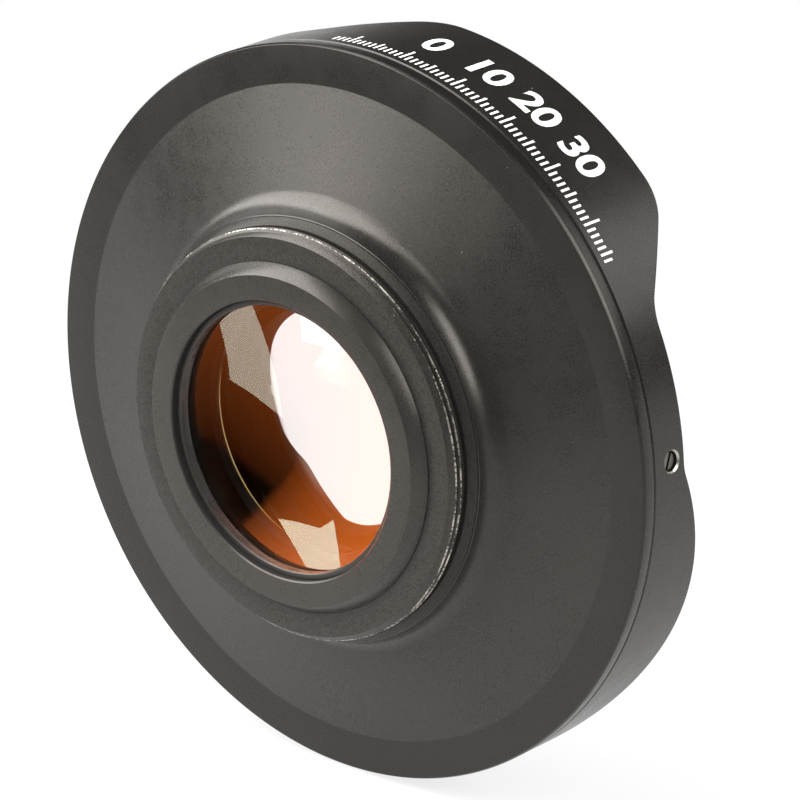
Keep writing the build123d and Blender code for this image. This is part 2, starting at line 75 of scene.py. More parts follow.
mount = next(m for m in frame["record"]["mounts"] if m["name"] == "rear_thread")
THREAD_RADIUS = mount["dims"]["r_mm"]
THREAD_LENGTH = mount["dims"]["length_mm"]
MOUNT_REAR, MOUNT_FRONT, NECK_RADIUS = span("mount_ring")
CELL_REAR, CELL_FRONT, CELL_FLANGE_RADIUS = span("rear_cell")
RING_REAR, RING_FRONT, REAR_GLASS_RADIUS = span("rear_retaining_ring")
SHELL_REAR, SHELL_FRONT, SHELL_RADIUS = span("rear_shell")
HOOD_REAR, HOOD_FRONT, HOOD_RADIUS = span("petal_hood")
GLASS_SEAT, GLASS_FRONT, FRONT_GLASS_RADIUS = span("front_element")
RETAINER_REAR, RETAINER_FRONT, RETAINER_RADIUS = span("front_retaining_ring")
TRIM_REAR, TRIM_FRONT, TRIM_RADIUS = span("front_trim_ring")
MIDDLE_RING_REAR, _, MIDDLE_GLASS_RADIUS = span("middle_retaining_ring")

SEGMENTS = 384             # round the axis, on turned metal
BELL_SEGMENTS = 512
GLASS_SEGMENTS = 256
THREAD_SEGMENTS = 720
HOOD_SEGMENTS = 1440
SCREW_SEGMENTS = 96
HOLE_SEGMENTS = 64
EDGE_ROUND = 0.06          # of a turned edge
RING_ROUND = 0.03          # of the rear retaining ring's edges
RETAINER_ROUND = 0.04
TRIM_ROUND = 0.05
CORNER_SHARE = 0.45        # of the shorter side, which a corner's arc may take
NEARLY_STRAIGHT = 178      # degrees, above which a corner stays as it is
ARC_FACET = 0.12
FACE_POINTS = 56           # from the axis to the edge of a glass face
SHARP_ANGLE = 32           # degrees, above which two faces meet in a crease
THREAD_SHARP_ANGLE = 50
HOOD_SHARP_ANGLE = 40
HOLED_HOOD_SHARP_ANGLE = 30
SCREW_SHARP_ANGLE = 40
SLOTTED_SCREW_SHARP_ANGLE = 35
MERGE_DISTANCE = 1e-7      # metres
RADIUS_TOLERANCE = 0.001
FACE_TOLERANCE = 0.03      # within which a face of a glass lies on its curve
SLACK = 0.01               # for comparing places
ZONE_MARGIN = 0.1          # past a zone whose own rounded edge belongs to it
OVERRUN = 1.0              # of a cutter past what it cuts

# Mount ring
THREAD_PITCH = 0.75
THREAD_DEPTH = 0.41
THREAD_CREST = 0.1
FLANK_WIDTH = 0.24
THREAD_START = 177.0       # degrees, where a crest passes the rear end of the full thread
RELIEF_DEPTH = 0.5
RELIEF_LENGTH = 0.5
MOUNT_BORE = 17.99
SPIGOT_STEP = 0.95         # from the thread down to the ring's own spigot
NECK_GAP = 0.02
THREAD_FACET = 0.025

# Rear cell
CELL_BORE = 14.64
RECESS_BEVEL = 0.14
FLANGE_SLOPE = 1.13
FLANGE_FOOT_STEP = 0.5
CELL_FRONT_BORE = 15.24
NOSE_STEP = 1.0
NOSE_LENGTH = 1.8
WEB_RADIUS = 13.6
WEB_REAR = 6.0
WEB_FRONT = 6.53
RING_BORE = 13.98
RING_BEVEL = 0.1
SEAT_GAP = 0.01            # between faces that seat on each other

# Bell
NECK_BEVEL = 0.08
NECK_LIP = 2.19
FLARE_RADIUS = 2.6
SHELL_WALL = 1.3
RIM_ZONE_WIDTH = 4.1
RIM_BEVEL_WIDTH = 0.16
RIM_BEVEL_HEIGHT = 0.32
RIM_HEIGHT = 1.65
SPIGOT_RADIUS = 37.14
SPIGOT_BORE = 34.94
GROOVE_DEPTH = 0.5
GROOVE_WIDTH = 2.2
NECK_BORE = 20.59
LOCK_SEAT_WIDTH = 3.5
RIM_ZONE_ROUND = 0.5
RIM_FRONT_ROUND = 0.18
SEAM_GAP = 0.1

# Hood
HOOD_BORE = 37.19
HOOD_BEVEL = 0.15
HOOD_EDGE_ROUND = 0.2
EDGE_STEPS = 4             # in the arc on each side of the front edge
WALL_SHARES = (0.04, 0.96)  # of the wall's height, between which its plain rows lie
OUTER_ROWS = 24
INNER_ROWS = 14
PETAL_POINTS = 160         # in half a short petal's curve
VALLEY_RISE = 4.8
SHORT_PETAL_RISE = 8.75
LONG_PETAL_HALF_WIDTH = 15.3
LONG_PETAL_RAMP = 43.0
LONG_PETAL_ROUND = 6.3
LONG_PETAL_FOOT_ROUND = 4.0
SHORT_PETAL_CURVE = 43.5
SHORT_PETAL_FOOT_ROUND = 3.0
HOOD_TURN = 25.0
LONG_PETAL_ANGLE = 90 + HOOD_TURN
SCREW_COUNT = 3
FIRST_SCREW = 60           # degrees, on from the middle of a long petal
SCREW_ANGLES = [LONG_PETAL_ANGLE + FIRST_SCREW + 360 / SCREW_COUNT * step for step in range(SCREW_COUNT)]
SCREW_RISE = 2.74
SCREW_LINE = HOOD_REAR + SCREW_RISE
SCREW_RADIUS = 1.0
SCREW_HOLE_GAP = 0.04
SCREW_TIP = 36.74
SCREW_HEAD = 38.34
SCREW_BEVEL = 0.15
SCREW_PITCH = 0.4
SCREW_THREAD_DEPTH = 0.16
SCREW_FLANK = 1.2          # how steeply its thread falls from the crest
SCREW_ROWS = 48
SCREW_END_MARGIN = 0.02
SLOT_WIDTH = 0.35
SLOT_DEPTH = 0.5
SLOT_TURN = 25
COUNTERSINK = 0.2
COUNTERSINK_FACING = (0.3, 0.9)  # how far its faces look out along the screw

# Printed marks: a plain degree scale, its numbers on the long petal
INK_HEIGHT = 0.012
SCALE_START = 85           # degrees
SCALE_END = 144
SCALE_ZERO = 98
SCALE_NUMBERS = 4
SCALE_FOOT = 10.3
TICK_WIDTH = 0.27
TICK_LENGTHS = {1: 1.25, 5: 1.75, 10: 2.4}
NUMBER_STEP = 10           # degrees
NUMBER_FOOT = 14.5
NUMBER_HEIGHT = 3.5
NUMBER_BOLDNESS = 0.15
CAPITAL_SHARE = 0.69       # of the built-in font's size
STRIP_REACH = 5.0          # to each side of a number's middle
STRIP_WIDTH = 0.3

# Glass: a face's curve is given by its rise, from its edge to its vertex
CROWN_EDGE = 1.19
CROWN_REAR_RISE = 1.87
CROWN_HOLLOW = 1.0         # the rise, inwards, of the rear face that is seen
CEMENTED_RISE = 4.1
CEMENT_GAP = 0.02
FLINT_THICKNESS = 1.8
FLINT_FRONT_RISE = 1.19
MIDDLE_THICKNESS = 2.97
MIDDLE_REAR_RISE = 0.97
MIDDLE_FRONT_RISE = 1.6
FRONT_LAND_WIDTH = 10.45
FRONT_OUTER_RISE = 11.0
FRONT_INNER_RISE = 11.2
RETAINER_LIP = 1.4
TRIM_LIP = 0.4
TRIM_BEVEL = 0.3
MIDDLE_CLEAR_RADIUS = 12.8


def rounded(points, rounding=EDGE_ROUND, steps=3, closed=True):
    """The outline with small arcs for corners. A point may give its own radius as a third value."""
    corners = [np.array(point[:2], float) for point in points]
    outline = []
    for index, corner in enumerate(corners):
        own = points[index][2] if len(points[index]) > 2 else None
        radius = rounding if own is None else own
        is_end = not closed and index in (0, len(corners) - 1)
        back = corners[index - 1] - corner
        ahead = corners[(index + 1) % len(corners)] - corner
        room = min(np.linalg.norm(back), np.linalg.norm(ahead)) * CORNER_SHARE
        back /= np.linalg.norm(back)
        ahead /= np.linalg.norm(ahead)
        half = np.arccos(np.clip(back @ ahead, -1, 1)) / 2
        if is_end or radius == 0 or half > radians(NEARLY_STRAIGHT / 2):
            outline.append(corner)
            continue
        cut = radius / tan(half)
        if own is None:
            cut = min(cut, room)
        radius = cut * tan(half)
        facets = steps if own is None else max(steps, int(radius * (pi - half * 2) / ARC_FACET))
        middle = back + ahead
        centre = corner + middle / np.linalg.norm(middle) * radius / sin(half)
        first = corner + back * cut - centre
        last = corner + ahead * cut - centre
        turn = atan2(first[0] * last[1] - first[1] * last[0], first @ last)
        for step in range(facets + 1):
            angle = turn * step / facets
            swing = np.array([[cos(angle), -sin(angle)], [sin(angle), cos(angle)]])
            outline.append(centre + swing @ first)
    return outline


def new_object(name, mesh):
    piece = bpy.data.objects.new(name, mesh)
    bpy.context.scene.collection.objects.link(piece)
    return piece


def tidy_mesh(mesh, sharp=SHARP_ANGLE):
    """Merges doubled points, turns every face outwards and creases the sharp edges."""
    work = bmesh.new()
    work.from_mesh(mesh)
    bmesh.ops.remove_doubles(work, verts=work.verts, dist=MERGE_DISTANCE)
    bmesh.ops.recalc_face_normals(work, faces=work.faces)
    work.to_mesh(mesh)
    work.free()
    mesh.shade_smooth()
    mesh.set_sharp_from_angle(angle=radians(sharp))


def swept(name, radius, height, sharp=SHARP_ANGLE):
    """A closed skin round the axis from radius and height tables: outline points by angles."""
    rows, columns = radius.shape
    angle = np.arange(columns) * tau / columns
    place = np.stack([radius * np.cos(angle), -height, radius * np.sin(angle)], axis=-1) * MM
    index = np.arange(rows * columns).reshape(rows, columns)
    below = np.roll(index, -1, axis=0)
    faces = np.stack([index, np.roll(index, -1, axis=1), np.roll(below, -1, axis=1), below], axis=-1)
    mesh = bpy.data.meshes.new(name)
    mesh.from_pydata(place.reshape(-1, 3).tolist(), [], faces.reshape(-1, 4).tolist())
    tidy_mesh(mesh, sharp)
    return new_object(name, mesh)


def lathe(name, outline, segments=SEGMENTS, sharp=SHARP_ANGLE):
    """A turned piece whose half section is the closed outline of (radius, height) points."""
    section = np.array(outline, float)
    ones = np.ones((1, segments))
    return swept(name, section[:, :1] * ones, section[:, 1:2] * ones, sharp)


def sag(curve, radius):
    return curve - np.sqrt(curve * curve - radius * radius)


def curve_radius(rise, radius):
    return (radius * radius + rise * rise) / (rise * 2)


def face_points(vertex, rise, radius, side):
    """Points of a spherical face from the axis to its edge. Side is 1 where its edge is forward."""
    curve = curve_radius(rise, radius)
    reach = radius * np.sin(np.linspace(0, pi / 2, FACE_POINTS))
    return [(r, vertex + side * sag(curve, r)) for r in reach]


def glass(name, rear, front, corners=()):
    """An element between two faces, with face numbers: 0 rear, 1 front and 2 the ground edge."""
    piece = lathe(name, [*rear, *corners, *reversed(front)], GLASS_SEGMENTS)
    profiles = [np.array(rear), np.array(front)]
    for face in piece.data.polygons:
        radius = np.hypot(face.center.x, face.center.z) / MM
        height = -face.center.y / MM
        off = [abs(height - np.interp(radius, profile[:, 0], profile[:, 1])) for profile in profiles]
        nearest = int(np.argmin(off))
        on_edge = min(off) > FACE_TOLERANCE or radius > max(profiles[nearest][:, 0]) + RADIUS_TOLERANCE
        face.material_index = 2 if on_edge else nearest
    return piece


def coat(piece, node, rear, front):
    """Dresses an element: a material for each face, and black paint on its ground edge."""
    dress(piece, "lens_body", node, rear)
    piece.data.materials.append(front)
    piece.data.materials.append(EDGE_PAINT)


def dress(piece, body, node, material):
    """Gives a piece its material, body and slot, and has it stand for a node's solid."""
    faces = [face.material_index for face in piece.data.polygons]
    piece.data.materials.clear()
    piece.data.materials.append(material)
    piece.data.polygons.foreach_set("material_index", faces)
    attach(piece, body)
    if node:
        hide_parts(node)
    return piece


# Node trees
NOISE_RANGE = (0.3, 0.7)   # in which most of a noise lies
SPECK_CORE = 0.6           # of a speck's radius, inside which it is solid


class Nodes:
    """A node tree, with short calls to add a node and wire it up."""

    def __init__(self, tree, coordinates):
        self.tree = tree
        self.place = self.add("ShaderNodeTexCoord").outputs[coordinates]

    def add(self, kind, settings=(), **inputs):
        node = self.tree.nodes.new(kind)
        for key, value in dict(settings).items():
            setattr(node, key, value)
        for key, value in inputs.items():
            self.feed(node, key.replace("_", " "), value)
        return node

    def feed(self, node, socket, value):
        """Sets or links an input, named by its label or by its number, such as i2."""
        numbered = socket[0] == "i" and socket[1:].isdigit()
        target = node.inputs[int(socket[1:]) if numbered else socket]
        if isinstance(value, bpy.types.NodeSocket):
            self.tree.links.new(value, target)
        else:
            target.default_value = value

    def maths(self, operation, *values):
        node = self.add("ShaderNodeMath", {"operation": operation})
        for index, value in enumerate(values):
            self.feed(node, f"i{index}", value)
        return node.outputs[0]

    def product(self, *values):
        """What two or more values give when they are multiplied."""
        total = values[0]
        for value in values[1:]:
            total = self.maths("MULTIPLY", total, value)
        return total

    def rest(self, share):
        """What a share leaves of one."""
        return self.maths("SUBTRACT", 1.0, share)

    def noise(self, size, detail, roughness):
        """Noise from 0 to 1 whose features are about that many millimetres across."""
        node = self.add("ShaderNodeTexNoise", Vector=self.place, Scale=1 / (size * MM))
        self.feed(node, "Detail", detail)
        self.feed(node, "Roughness", roughness)
        return node.outputs["Fac"]

    def between(self, value, low, high, out_low=0.0, out_high=1.0, soft=False):
        """The value mapped from one range to another and held inside it."""
        node = self.add("ShaderNodeMapRange", {"interpolation_type": "SMOOTHSTEP" if soft else "LINEAR"})
        for socket, amount in zip(("Value", "From Min", "From Max", "To Min", "To Max"),
                                  (value, low, high, out_low, out_high)):
            self.feed(node, socket, amount)
        return node.outputs["Result"]

    def swing(self, noise, low, high):
        """A level that a noise moves between two values."""
        return self.between(noise, *NOISE_RANGE, low, high)

    def split(self, vector):
        return self.add("ShaderNodeSeparateXYZ", Vector=vector).outputs

    def length(self, vector):
        return self.add("ShaderNodeVectorMath", {"operation": "LENGTH"}, Vector=vector).outputs["Value"]

    def mix(self, factor, first, second):
        """A colour between two, each written as a tuple or taken from a socket."""
        node = self.add("ShaderNodeMix", {"data_type": "RGBA"})
        self.feed(node, "i0", factor)
        self.feed(node, "i6", first)
        self.feed(node, "i7", second)
        return node.outputs[2]

    def bump(self, height, distance, normal=None):
        """A relief that many millimetres high, laid over another where one is given."""
        node = self.add("ShaderNodeBump", Strength=1.0, Distance=distance * MM, Height=height)
        if normal:
            self.feed(node, "Normal", normal)
        return node.outputs["Normal"]

    def off_axis(self):
        """The distance from the optical axis in millimetres."""
        along = self.split(self.place)
        flat = self.add("ShaderNodeCombineXYZ", X=along["X"], Z=along["Z"]).outputs[0]
        return self.maths("DIVIDE", self.length(flat), MM)

    def specks(self, spacing, size):
        """Sparse dust: 1 in a few small dots and 0 elsewhere."""
        cells = self.add("ShaderNodeTexVoronoi", Vector=self.place, Scale=1 / (spacing * MM), Randomness=1.0)
        near = size / spacing
        return self.between(cells.outputs["Distance"], near, near * SPECK_CORE)


class MaterialNodes(Nodes):
    """The node tree of a new material."""

    def __init__(self, name):
        self.material = bpy.data.materials.new(name)
        self.material.use_nodes = True
        super().__init__(self.material.node_tree, "Object")
        self.shader = self.tree.nodes["Principled BSDF"]

    def blend(self, factor, first, second):
        """Shows a mix of two shaders in place of the first shader alone."""
        mixed = self.add("ShaderNodeMixShader")
        self.feed(mixed, "i0", factor)
        self.feed(mixed, "i1", first.outputs[0])
        self.feed(mixed, "i2", second.outputs[0])
        self.tree.links.new(mixed.outputs[0], self.tree.nodes["Material Output"].inputs["Surface"])


def grey(level, warmth=0.0):
    return (level * (1 + warmth), level, level * (1 - warmth), 1)


# Materials. Sizes are in millimetres and levels are shares of white.
WARM = (1.0, 0.93, 0.85, 1)
WARMTH = 0.1               # of the black finish's own colour
DUST_WARMTH = 0.03
CLOUD_SIZE = 9.0           # of the gloss's soft clouds
CLOUD_LEVELS = (0.8, 1.25)  # of the colour, across the clouds
CLOUD_GLOSS = 0.03
GRAIN_GLOSS = 0.05
GRAIN_SPOTS = (0.6, 0.74)  # noise values between which a pale grain comes in
GRAIN_SPOT_SHARE = 0.4
GRAIN_SPOT_LEVEL = 2.8
SHINE_SWING = (0.75, 1.25)  # of the reflection's strength, across the grain
PATCH_SIZE = 2.2           # of faint rub marks
PATCH_RANGE = (0.35, 0.65)
PATCH_GLOSS = 0.015
DUST_SPACING = 3.1
DUST_SIZE = 0.08
DUST_PATCHES = (0.5, 0.6)  # noise values between which dust comes in
DUST_LEVEL = 0.5
DUST_ROUGHNESS = 0.4
DUST_HEIGHT = 0.01
# Painted shade on the bell's flat rim zone: how much its colour is darkened, and what is left of its
# reflection
RIM_PAINTED_SHADE = 0.3
RIM_SHINE = 0.86


def anodised(name, level, roughness, specular=0.44, grain=0.17, depth=0.008, rim=None):
    """Black anodised aluminium: blasted grain, cloudy gloss, faint rub marks, a few dust specks and, past
    the rim radius, painted shade.
    """
    n = MaterialNodes(name)
    fine = n.noise(grain, detail=2.0, roughness=0.65)
    cloud = n.noise(CLOUD_SIZE, detail=3.0, roughness=0.55)
    patch = n.noise(PATCH_SIZE, detail=2.0, roughness=0.5)
    dark, light = (grey(level * share, WARMTH) for share in CLOUD_LEVELS)
    base = n.mix(cloud, dark, light)
    spots = n.product(n.between(fine, *GRAIN_SPOTS), GRAIN_SPOT_SHARE)
    base = n.mix(spots, base, grey(level * GRAIN_SPOT_LEVEL, WARMTH))
    dots = n.product(n.specks(DUST_SPACING, DUST_SIZE), n.between(patch, *DUST_PATCHES))
    base = n.mix(dots, base, grey(DUST_LEVEL, DUST_WARMTH))
    cloudy = n.swing(cloud, -CLOUD_GLOSS, CLOUD_GLOSS)
    grainy = n.swing(fine, -GRAIN_GLOSS, GRAIN_GLOSS)
    rubbed = n.between(patch, *PATCH_RANGE, -PATCH_GLOSS, PATCH_GLOSS)
    gloss = n.maths("ADD", n.maths("ADD", n.maths("ADD", cloudy, grainy), rubbed), roughness)
    shine = n.swing(fine, *(specular * share for share in SHINE_SWING))
    # Painted shade: past the rim radius the flat zone gets a darker colour and a weaker reflection
    if rim:
        on_rim = n.maths("GREATER_THAN", n.off_axis(), rim)
        base = n.mix(n.product(on_rim, RIM_PAINTED_SHADE), base, grey(0.0))
        shine = n.product(shine, n.between(on_rim, 0, 1, 1, RIM_SHINE))
    n.feed(n.shader, "Base Color", base)
    n.feed(n.shader, "Specular IOR Level", shine)
    n.feed(n.shader, "Specular Tint", WARM)
    n.feed(n.shader, "Roughness", n.maths("ADD", gloss, n.product(dots, DUST_ROUGHNESS)))
    n.feed(n.shader, "Normal", n.bump(dots, DUST_HEIGHT, n.bump(fine, depth)))
    return n.material


THREAD_LEVELS = (0.012, 0.028)
THREAD_GRAIN = 0.17
THREAD_GRAIN_RANGE = (0.35, 0.75)
THREAD_GRAIN_DEPTH = 0.005
THREAD_SHINE = 0.36
THREAD_BEHIND_SHINE = 0.4  # of the same, on the ring's smooth part
THREAD_ROUGHNESS = (0.27, 0.36)
THREAD_DUST_SPACING = 2.2
THREAD_DUST_SIZE = 0.05
THREAD_DUST_LEVEL = 0.42
WEAR_SIZE = 2.4            # of the stretches that are rubbed
WEAR_DEPTHS = (0.12, 0.02)  # below the crest, between which wear sets in
WEAR_RANGE = (1.2, 1.38)   # of the two noises' sum, between which metal shows
WEAR_METAL_RANGE = (0.4, 0.7)
WORN_COLOUR = (0.66, 0.61, 0.54, 1)
NICK_SIZE = 0.28
NICK_SHARE = 1.4
NICK_DEPTH = 0.02


def worn_thread(name):
    """Anodised black with flecks of bare metal rubbed through on the crests."""
    n = MaterialNodes(name)
    fine = n.noise(THREAD_GRAIN, detail=2.0, roughness=0.65)
    broad = n.noise(WEAR_SIZE, detail=3.0, roughness=0.6)
    nick = n.noise(NICK_SIZE, detail=3.0, roughness=0.8)
    crest = n.between(n.off_axis(), *(THREAD_RADIUS - depth for depth in WEAR_DEPTHS))
    along = n.split(n.place)["Y"]
    threaded = n.maths("GREATER_THAN", along, -(THREAD_LENGTH + ZONE_MARGIN) * MM)
    rubbed = n.between(n.maths("ADD", broad, n.product(nick, NICK_SHARE)), *WEAR_RANGE)
    bare = n.product(crest, threaded, rubbed)
    dark, light = (grey(level, WARMTH) for level in THREAD_LEVELS)
    base = n.mix(n.between(fine, *THREAD_GRAIN_RANGE), dark, light)
    dust = n.specks(THREAD_DUST_SPACING, THREAD_DUST_SIZE)
    base = n.mix(dust, base, grey(THREAD_DUST_LEVEL, DUST_WARMTH))
    n.feed(n.shader, "Base Color", n.mix(bare, base, WORN_COLOUR))
    n.feed(n.shader, "Metallic", n.between(bare, *WEAR_METAL_RANGE))
    shine = n.swing(fine, *(THREAD_SHINE * share for share in SHINE_SWING))
    shine = n.product(shine, n.between(threaded, 0, 1, THREAD_BEHIND_SHINE, 1))
    n.feed(n.shader, "Specular IOR Level", shine)
    n.feed(n.shader, "Specular Tint", WARM)
    n.feed(n.shader, "Roughness", n.swing(fine, *THREAD_ROUGHNESS))
    n.feed(n.shader, "Normal", n.bump(nick, NICK_DEPTH, n.bump(fine, THREAD_GRAIN_DEPTH)))
    return n.material


def plain_finish(name, dark, light, roughness, size, depth, detail=3.0):
    """A finish in which one noise moves the colour, the gloss and a slight relief."""
    n = MaterialNodes(name)
    fine = n.noise(size, detail, roughness=0.6)
    n.feed(n.shader, "Base Color", n.mix(fine, dark, light))
    n.feed(n.shader, "Roughness", n.swing(fine, *roughness))
    n.feed(n.shader, "Normal", n.bump(fine, depth))
    return n.material


def matt_black(name, level):
    dark, light = (grey(level * share) for share in (0.8, 1.3))
    return plain_finish(name, dark, light, roughness=(0.55, 0.7), size=0.08, depth=0.003, detail=2.0)


BRUSH_SIZE = 0.09
BRUSH_DEPTH = 0.002
BRUSH_ROUGHNESS = (-0.06, 0.1)
TARNISH_SIZE = 0.6
TARNISH_LEVEL = 0.8


def brushed(name, colour, roughness=0.3):
    """Bare metal with a fine tooling grain and a little tarnish."""
    n = MaterialNodes(name)
    fine = n.noise(BRUSH_SIZE, detail=3.0, roughness=0.6)
    shade = n.noise(TARNISH_SIZE, detail=2.0, roughness=0.6)
    tarnished = tuple(share * TARNISH_LEVEL for share in colour[:3]) + (1,)
    n.feed(n.shader, "Base Color", n.mix(shade, tarnished, colour))
    n.feed(n.shader, "Metallic", 1.0)
    n.feed(n.shader, "Roughness", n.swing(fine, *(roughness + change for change in BRUSH_ROUGHNESS)))
    n.feed(n.shader, "Normal", n.bump(fine, BRUSH_DEPTH))
    return n.material


def coated_glass(name, ior, tint, share):
    """Clear glass with a coating that leaves a share of the reflection and tints it."""
    n = MaterialNodes(name)
    bend = n.add("ShaderNodeBsdfRefraction", Color=(1, 1, 1, 1), Roughness=0.0, IOR=ior)
    mirror = n.add("ShaderNodeBsdfAnisotropic", Color=tint, Roughness=0.0)
    angle = n.add("ShaderNodeFresnel", IOR=ior)
    n.blend(n.product(angle.outputs[0], share), bend, mirror)
    n.tree.nodes.remove(n.shader)
    return n.material


CLEAR_COAT = (0.85, 0.8, 1.0, 1)
CREAM_COAT = (1.0, 0.85, 0.6, 1)
AMBER_COAT = (1.0, 0.2, 0.025, 1)
CROWN_INDEX = 1.52
FLINT_INDEX = 1.56
MIDDLE_INDEX = 1.8
FRONT_INDEX = 1.95
BLACK_ANODISED = anodised("blasted_black", level=0.013, roughness=0.3, rim=SHELL_RADIUS - RIM_ZONE_WIDTH)
HOOD_BLACK = anodised("hood_black", level=0.012, roughness=0.29, specular=0.42, grain=0.14, depth=0.005)
CELL_BLACK = anodised("cell_black", level=0.02, roughness=0.3, specular=0.38, grain=0.16, depth=0.006)
THREAD_METAL = worn_thread("thread_black")
INNER_BLACK = matt_black("inner_black", level=0.012)
SEAL_RUBBER = plain_finish("seal_rubber", grey(0.015), grey(0.028),
                           roughness=(0.6, 0.8), size=0.2, depth=0.01)
SHIM_BRASS = brushed("shim_brass", (0.7, 0.5, 0.2, 1))
SCREW_STEEL = brushed("screw_steel", (0.2, 0.185, 0.165, 1), roughness=0.36)
BARE_METAL = brushed("bare_metal", (0.5, 0.47, 0.42, 1), roughness=0.34)
WHITE_INK = plain_finish("white_ink", (0.76, 0.75, 0.72, 1), (0.88, 0.87, 0.84, 1),
                         roughness=(0.4, 0.55), size=0.25, depth=0.002)
CROWN_GLASS = coated_glass("crown_glass", CROWN_INDEX, AMBER_COAT, share=1.6)
FLINT_GLASS = coated_glass("flint_glass", FLINT_INDEX, CREAM_COAT, share=1.0)
MIDDLE_GLASS = coated_glass("middle_glass", MIDDLE_INDEX, CREAM_COAT, share=0.3)
FRONT_GLASS = coated_glass("front_glass", FRONT_INDEX, AMBER_COAT, share=0.1)
CROWN_CEMENT = coated_glass("crown_cement", 1.0, CLEAR_COAT, share=0.0)
FLINT_CEMENT = coated_glass("flint_cement", FLINT_INDEX / CROWN_INDEX, CLEAR_COAT, share=0.0)
EDGE_PAINT = matt_black("edge_paint", level=0.01)


# Mount ring with its helical thread
def mount_ring():
    relief = THREAD_RADIUS - RELIEF_DEPTH
    shoulder = THREAD_LENGTH + RELIEF_LENGTH
    lead_chamfer = -MOUNT_REAR
    neck_seat = SHELL_REAR - NECK_GAP
    spigot = THREAD_RADIUS - SPIGOT_STEP
    outline = rounded([
        (MOUNT_BORE, MOUNT_REAR),
        (THREAD_RADIUS - lead_chamfer, MOUNT_REAR),
        (THREAD_RADIUS, 0, 0),
        (THREAD_RADIUS, THREAD_LENGTH, 0),
        (relief, THREAD_LENGTH, 0),
        (relief, shoulder),
        (THREAD_RADIUS, shoulder),
        (NECK_RADIUS, neck_seat),
        (spigot, neck_seat),
        (spigot, MOUNT_FRONT),
        (MOUNT_BORE, MOUNT_FRONT),
    ])
    section = []
    for here, there in zip(outline, outline[1:] + outline[:1]):
        here, there = np.array(here), np.array(there)
        section.append(here)
        along_thread = MOUNT_REAR - SLACK <= here[1] <= THREAD_LENGTH and there[1] <= shoulder
        threaded = here[0] > relief - SLACK and along_thread
        pieces = int(np.linalg.norm(there - here) / THREAD_FACET) if threaded else 1
        section += [here + (there - here) * step / pieces for step in range(1, pieces)]
    section = np.array(section)
    angle = np.arange(THREAD_SEGMENTS) * tau / THREAD_SEGMENTS
    radius = section[:, :1] * np.ones((1, THREAD_SEGMENTS))
    height = section[:, 1:2] * np.ones((1, THREAD_SEGMENTS))
    turn = (angle - radians(THREAD_START)) / tau
    from_crest = np.abs((height / THREAD_PITCH - turn + 0.5) % 1 - 0.5) * THREAD_PITCH
    cut = np.clip((from_crest - THREAD_CREST / 2) / FLANK_WIDTH, 0, 1) * THREAD_DEPTH
    crest = THREAD_RADIUS - cut
    zone = (height < THREAD_LENGTH + SLACK) & (radius > relief)
    radius = np.where(zone, np.minimum(radius, crest), radius)
    return swept("mount_ring_turned", radius, height, THREAD_SHARP_ANGLE)


dress(mount_ring(), "lens_body", "mount_ring", THREAD_METAL)


# Rear cell, its ring and the glass behind them
def rear_cell():
    foot = MOUNT_REAR - SEAT_GAP
    barrel = CELL_FLANGE_RADIUS - FLANGE_FOOT_STEP
    nose = CELL_FRONT - NOSE_LENGTH
    return lathe("rear_cell_turned", rounded([
        (CELL_BORE, WEB_REAR),
        (CELL_BORE, CELL_REAR + RECESS_BEVEL, 0),
        (CELL_BORE + RECESS_BEVEL, CELL_REAR, 0),
        (CELL_FLANGE_RADIUS - FLANGE_SLOPE, CELL_REAR),
        (CELL_FLANGE_RADIUS, foot),
        (barrel, foot),
        (barrel, nose),
        (barrel - NOSE_STEP, nose),
        (barrel - NOSE_STEP, CELL_FRONT),
        (CELL_FRONT_BORE, CELL_FRONT),
        (CELL_FRONT_BORE, WEB_FRONT),
        (WEB_RADIUS, WEB_FRONT),
        (WEB_RADIUS, WEB_REAR),
    ]))


def rear_ring():
    return lathe("rear_ring_turned", rounded([
        (RING_BORE, RING_REAR + RING_BEVEL),
        (RING_BORE + RING_BEVEL, RING_REAR),
        (REAR_GLASS_RADIUS, RING_REAR),
        (REAR_GLASS_RADIUS, RING_FRONT),
        (RING_BORE, RING_FRONT),
    ], RING_ROUND))


# The cell's inside, in front of the rear ring, is painted dull black
cell = rear_cell()
for face in cell.data.polygons:
    within = np.hypot(face.center.x, face.center.z) / MM < CELL_FRONT_BORE + ZONE_MARGIN
    face.material_index = int(within and -face.center.y / MM > RING_FRONT)
dress(cell, "lens_body", "rear_cell", CELL_BLACK)
cell.data.materials.append(EDGE_PAINT)
dress(rear_ring(), "lens_body", "rear_retaining_ring", CELL_BLACK)

crown_vertex = span("rear_crown_element")[0]
crown_rear = crown_vertex + CROWN_REAR_RISE + CROWN_HOLLOW
cemented_vertex = crown_vertex + CROWN_REAR_RISE + CROWN_EDGE + CEMENTED_RISE
flint_vertex = cemented_vertex + CEMENT_GAP
flint_front = flint_vertex + FLINT_THICKNESS
middle_front_edge = MIDDLE_RING_REAR - SEAT_GAP
middle_front = middle_front_edge - MIDDLE_FRONT_RISE
middle_rear = middle_front - MIDDLE_THICKNESS
front_clear = FRONT_GLASS_RADIUS - FRONT_LAND_WIDTH

